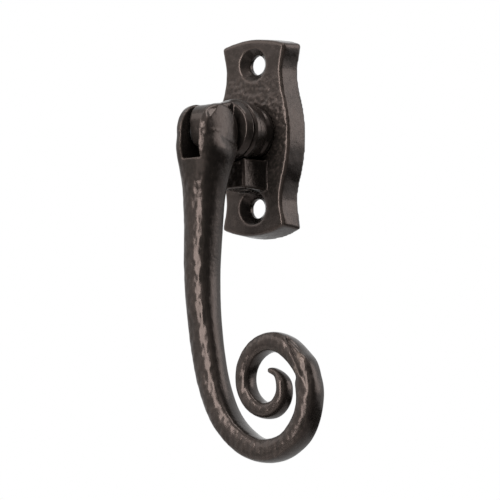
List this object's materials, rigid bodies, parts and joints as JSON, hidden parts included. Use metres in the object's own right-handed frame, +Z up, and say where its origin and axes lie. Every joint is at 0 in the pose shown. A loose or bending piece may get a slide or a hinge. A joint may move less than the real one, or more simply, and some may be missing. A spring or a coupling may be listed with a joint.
{
  "type": "espagnolette window handle",
  "caption": "Hammered black window handle: a lever that curls into a spiral hinges on a tongue, and the tongue's shaft turns in a grooved collar on a waisted backplate.",
  "frame": {"origin": "on the turning axis, in the plane where the backplate meets the window", "axes": "+Z up the plate, +X to the right seen from the room, +Y into the window"},
  "size_m": [0.0555, 0.0393, 0.1302],
  "materials": {
    "plate_black": "hammered, black, satin",
    "collar_black": "turned, black, satin",
    "hub_black": "cast, black, satin",
    "lever_black": "forged, black, satin",
    "bronze": "oiled bearing bronze",
    "bright_steel": "hardened and polished",
    "spring_steel": "oiled spring steel",
    "dark_steel": "blackened steel",
    "zinc_steel": "zinc plated"
  },
  "bodies": {
    "plate": {"backplate": "plate_black", "bearing_collar": "collar_black", "bearing_bush": "bronze", "thrust_washer": "dark_steel", "click_spring": "spring_steel", "click_screw": "dark_steel", "rear_cover": "zinc_steel", "cover_screws": "zinc_steel"},
    "turning_hub": {"hub": "hub_black", "rear_washer": "zinc_steel", "stop_plate": "zinc_steel", "spring_washer": "spring_steel", "retaining_ring": "spring_steel"},
    "lifting_lever": {"lever": "lever_black", "hinge_pin": "hub_black", "knuckle_washer_left": "dark_steel", "knuckle_washer_right": "dark_steel"},
    "click": {"click_ball": "bright_steel"}
  },
  "joints": [
    {"name": "handle_turn", "type": "hinge", "parent": "plate", "child": "turning_hub", "pos_m": [0, 0, 0], "axis": [0, 1, 0], "range_deg": [-90, 90]},
    {"name": "lever_lift", "type": "hinge", "parent": "turning_hub", "child": "lifting_lever", "pos_m": [0, -0.0305, -0.0015], "axis": [-1, 0, 0], "range_deg": [0, 90]},
    {"name": "click_slide", "type": "slide", "parent": "plate", "child": "click", "axis": [0, 0, 1], "range_m": [0, 0.0003], "deforming": ["click_spring"]}
  ]
}
